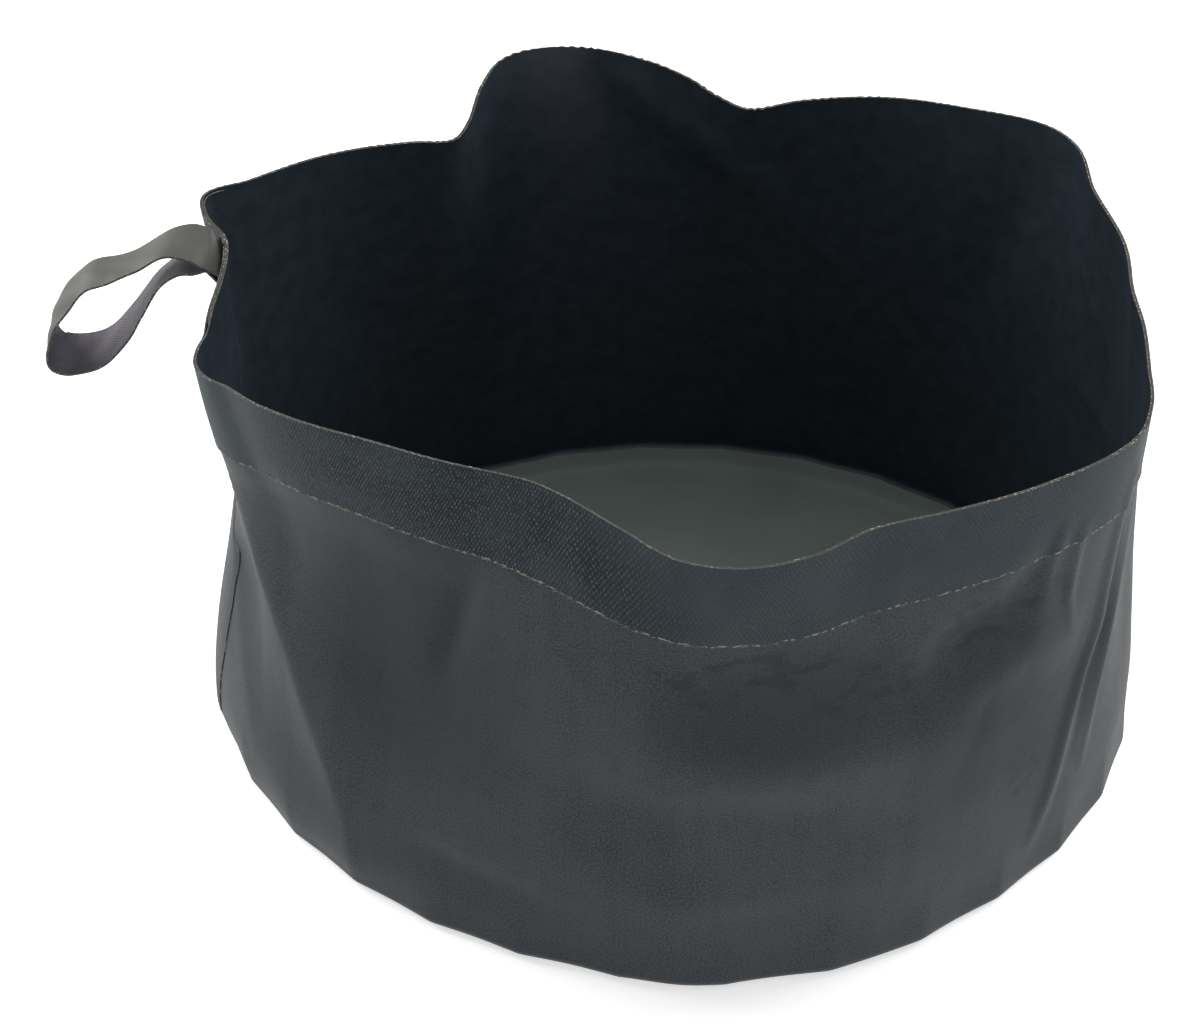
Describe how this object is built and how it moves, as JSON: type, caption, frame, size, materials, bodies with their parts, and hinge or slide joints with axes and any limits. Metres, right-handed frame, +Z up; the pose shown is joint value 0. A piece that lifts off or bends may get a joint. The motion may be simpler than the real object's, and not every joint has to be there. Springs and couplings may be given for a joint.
{
  "type": "collapsible camp washbasin",
  "caption": "Round soft-sided camp washbasin of coated fabric: lapped side wall, flat floor, rim band and a carrying loop; the rim pushes down to collapse it.",
  "frame": {"origin": "middle of the floor disc's underside, on the surface that the basin stands on", "axes": "+Z is up, out of the basin's mouth; the carrying loop sticks out towards -X; -Y is the side that faces the picture's viewer"},
  "size_m": [0.3616, 0.3265, 0.163],
  "materials": {
    "wall_cloth": "satin",
    "floor_cloth": "satin",
    "band_cloth": "satin",
    "loop_cloth": "satin"
  },
  "bodies": {
    "basin": {"floor_disc": "floor_cloth", "side_wall": "wall_cloth"},
    "rim": {"rim_band": "band_cloth", "loop_root": "loop_cloth"},
    "loop": {"hanging_loop": "loop_cloth"}
  },
  "joints": [
    {"name": "collapse", "type": "slide", "parent": "basin", "child": "rim", "axis": [0, 0, -1], "range_m": [0, 0.1], "deforming": ["side_wall"]},
    {"name": "loop_swing", "type": "hinge", "parent": "rim", "child": "loop", "pos_m": [-0.15435, 0.02447, 0.15231], "axis": [0, 0.9136, 0.4067], "range_deg": [-20, 90], "stiffness_Nm_per_rad": 0.02}
  ]
}
